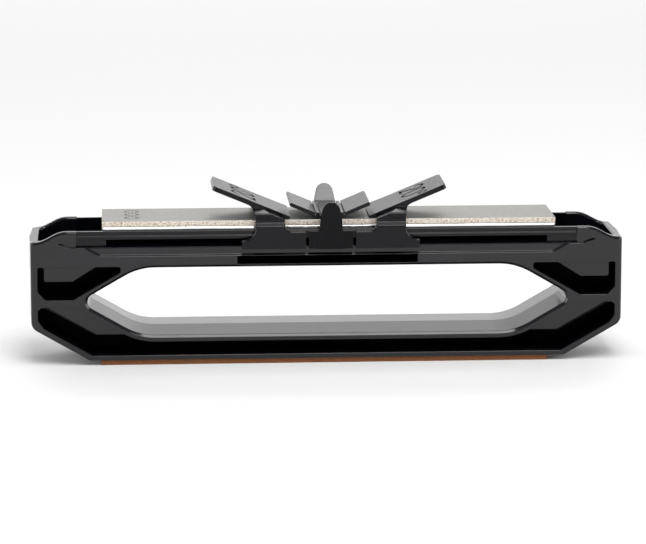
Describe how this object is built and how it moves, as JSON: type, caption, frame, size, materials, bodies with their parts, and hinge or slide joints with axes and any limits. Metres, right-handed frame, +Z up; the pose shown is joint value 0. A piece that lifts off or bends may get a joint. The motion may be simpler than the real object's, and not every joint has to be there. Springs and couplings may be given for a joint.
{
  "type": "honing guide",
  "caption": "Hand-held sharpening frame with a diamond plate on top, a leather strop below and a sliding clip-on guide whose ramps set the blade angle.",
  "frame": {"origin": "middle of the base, on the surface that the strop rests on", "axes": "+X along the plate, -Y towards the front, +Z up"},
  "size_m": [0.2, 0.0416, 0.0598],
  "materials": {
    "frame": "satin moulded",
    "carrier": "satin moulded",
    "guide": "fine spark texture",
    "plate": "diamond grit in nickel",
    "backing": "ground bright",
    "screws": "zinc plated",
    "magnets": "nickel plated",
    "strop": "suede side out",
    "adhesive": "transfer tape"
  },
  "bodies": {
    "frame": {"frame": "frame", "plate_carrier": "carrier", "carrier_screws": "screws", "plate_magnets": "magnets", "plate_backing": "backing", "diamond_plate": "plate", "leather_strop": "strop", "strop_adhesive": "adhesive"},
    "guide": {"angle_guide": "guide"},
    "front_tab": {"front_squeeze_tab": "guide"},
    "rear_tab": {"rear_squeeze_tab": "guide"}
  },
  "joints": [
    {"name": "guide_slide", "type": "slide", "parent": "frame", "child": "guide", "axis": [1, 0, 0], "range_m": [-0.0495, 0.0475]},
    {"name": "front_tab_squeeze", "type": "hinge", "parent": "guide", "child": "front_tab", "pos_m": [0.001, -0.0167, 0.0452], "axis": [-1, 0, 0], "range_deg": [0, 10], "stiffness_Nm_per_rad": 0.28},
    {"name": "rear_tab_squeeze", "type": "hinge", "parent": "guide", "child": "rear_tab", "pos_m": [0.001, 0.0167, 0.0452], "axis": [1, 0, 0], "range_deg": [0, 10], "stiffness_Nm_per_rad": 0.28}
  ]
}
